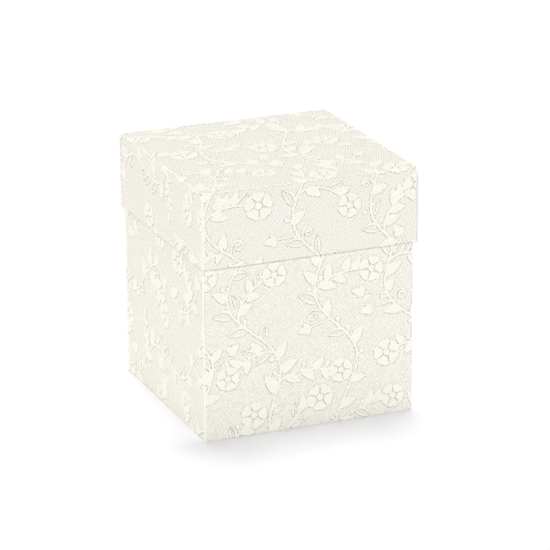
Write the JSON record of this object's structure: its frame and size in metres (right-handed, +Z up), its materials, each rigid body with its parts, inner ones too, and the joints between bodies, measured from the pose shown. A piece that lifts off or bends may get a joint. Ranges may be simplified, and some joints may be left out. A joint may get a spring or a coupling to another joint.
{
  "type": "wedding card box",
  "caption": "Square gift box folded from white embossed card: a tall base tray with glued corner tabs and a lift-off lid that caps its rim.",
  "frame": {"origin": "middle of the base's underside, on the surface that the box stands on", "axes": "+Z up, along the way the lid lifts; the front wall faces -Y; +X to the right of someone facing the front"},
  "size_m": [0.1025, 0.1026, 0.1147],
  "materials": {
    "embossed_card": "white card with a raised floral pattern on a fine linen ground, matt with a faint pearl sheen on the raised parts",
    "glue": "thin dried film of clear-cream carton glue"
  },
  "bodies": {
    "base": {"base_floor": "embossed_card", "base_front_wall": "embossed_card", "base_back_wall": "embossed_card", "base_left_wall": "embossed_card", "base_right_wall": "embossed_card", "base_tab_front_left": "embossed_card", "base_tab_front_right": "embossed_card", "base_tab_back_left": "embossed_card", "base_tab_back_right": "embossed_card", "base_corner_glue": "glue"},
    "lid": {"lid_top": "embossed_card", "lid_front_skirt": "embossed_card", "lid_back_skirt": "embossed_card", "lid_left_skirt": "embossed_card", "lid_right_skirt": "embossed_card", "lid_tab_front_left": "embossed_card", "lid_tab_front_right": "embossed_card", "lid_tab_back_left": "embossed_card", "lid_tab_back_right": "embossed_card", "lid_corner_glue": "glue"}
  },
  "joints": [
    {"name": "lid_lift", "type": "slide", "parent": "base", "child": "lid", "axis": [0, 0, 1], "range_m": [0, 0.12]}
  ]
}
